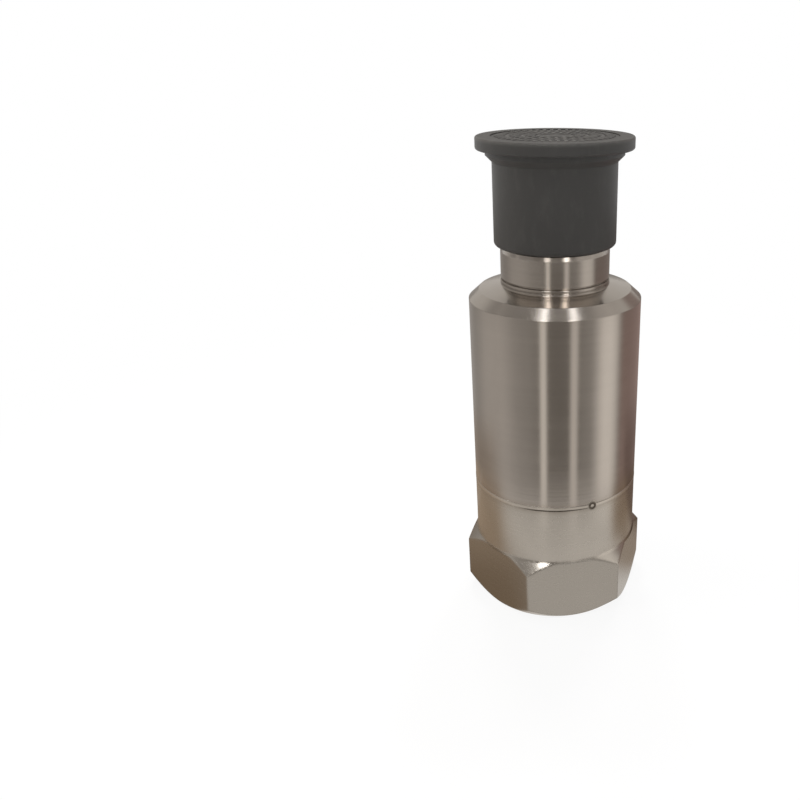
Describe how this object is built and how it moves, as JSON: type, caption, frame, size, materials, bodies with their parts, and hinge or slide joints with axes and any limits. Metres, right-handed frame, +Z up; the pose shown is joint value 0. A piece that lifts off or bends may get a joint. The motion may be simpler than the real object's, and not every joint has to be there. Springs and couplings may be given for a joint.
{
  "type": "vibration sensor",
  "caption": "Stainless steel vibration sensor: round welded can on a hexagon base with a tapped mounting hole, pin connector on top under a black flanged dust cap.",
  "frame": {"origin": "centre of the mounting face at the bottom of the hexagon base", "axes": "+Z up along the sensor's axis towards the connector, -Y out of one wrench flat"},
  "size_m": [0.0288, 0.0258, 0.0713],
  "materials": {
    "satin_steel": "satin stainless steel with fine turning marks",
    "turned_steel": "bright turned stainless steel",
    "sealing_glass": "fused sealing glass",
    "gold_contacts": "gold plated contacts",
    "black_plastic": "moulded matte black plastic",
    "white_ceramic": "sintered white ceramic",
    "inner_steel": "machined stainless steel",
    "amber_film": "amber insulating film",
    "piezo_ceramic": "ground piezoelectric ceramic",
    "tungsten_alloy": "ground heavy alloy",
    "brass_parts": "plain brass",
    "green_board": "solder masked circuit board",
    "component_black": "moulded component bodies",
    "red_wire": "insulated hook-up wire"
  },
  "bodies": {
    "root": {"base": "satin_steel", "housing": "turned_steel", "connector_shell": "turned_steel", "glass_seal": "sealing_glass", "contact_pins": "gold_contacts", "cap": "black_plastic", "base_insulator": "white_ceramic", "sensor_post": "inner_steel", "insulating_sleeve": "amber_film", "lower_piezo_ring": "piezo_ceramic", "electrode": "brass_parts", "upper_piezo_ring": "piezo_ceramic", "seismic_mass": "tungsten_alloy", "preload_washer": "inner_steel", "preload_nut": "inner_steel", "inner_shield": "brass_parts", "shield_liner": "amber_film", "board_spacers": "brass_parts", "circuit_board": "green_board", "board_screws": "inner_steel", "circuit_parts": "component_black", "signal_lead": "red_wire", "output_leads": "red_wire"}
  },
  "joints": []
}
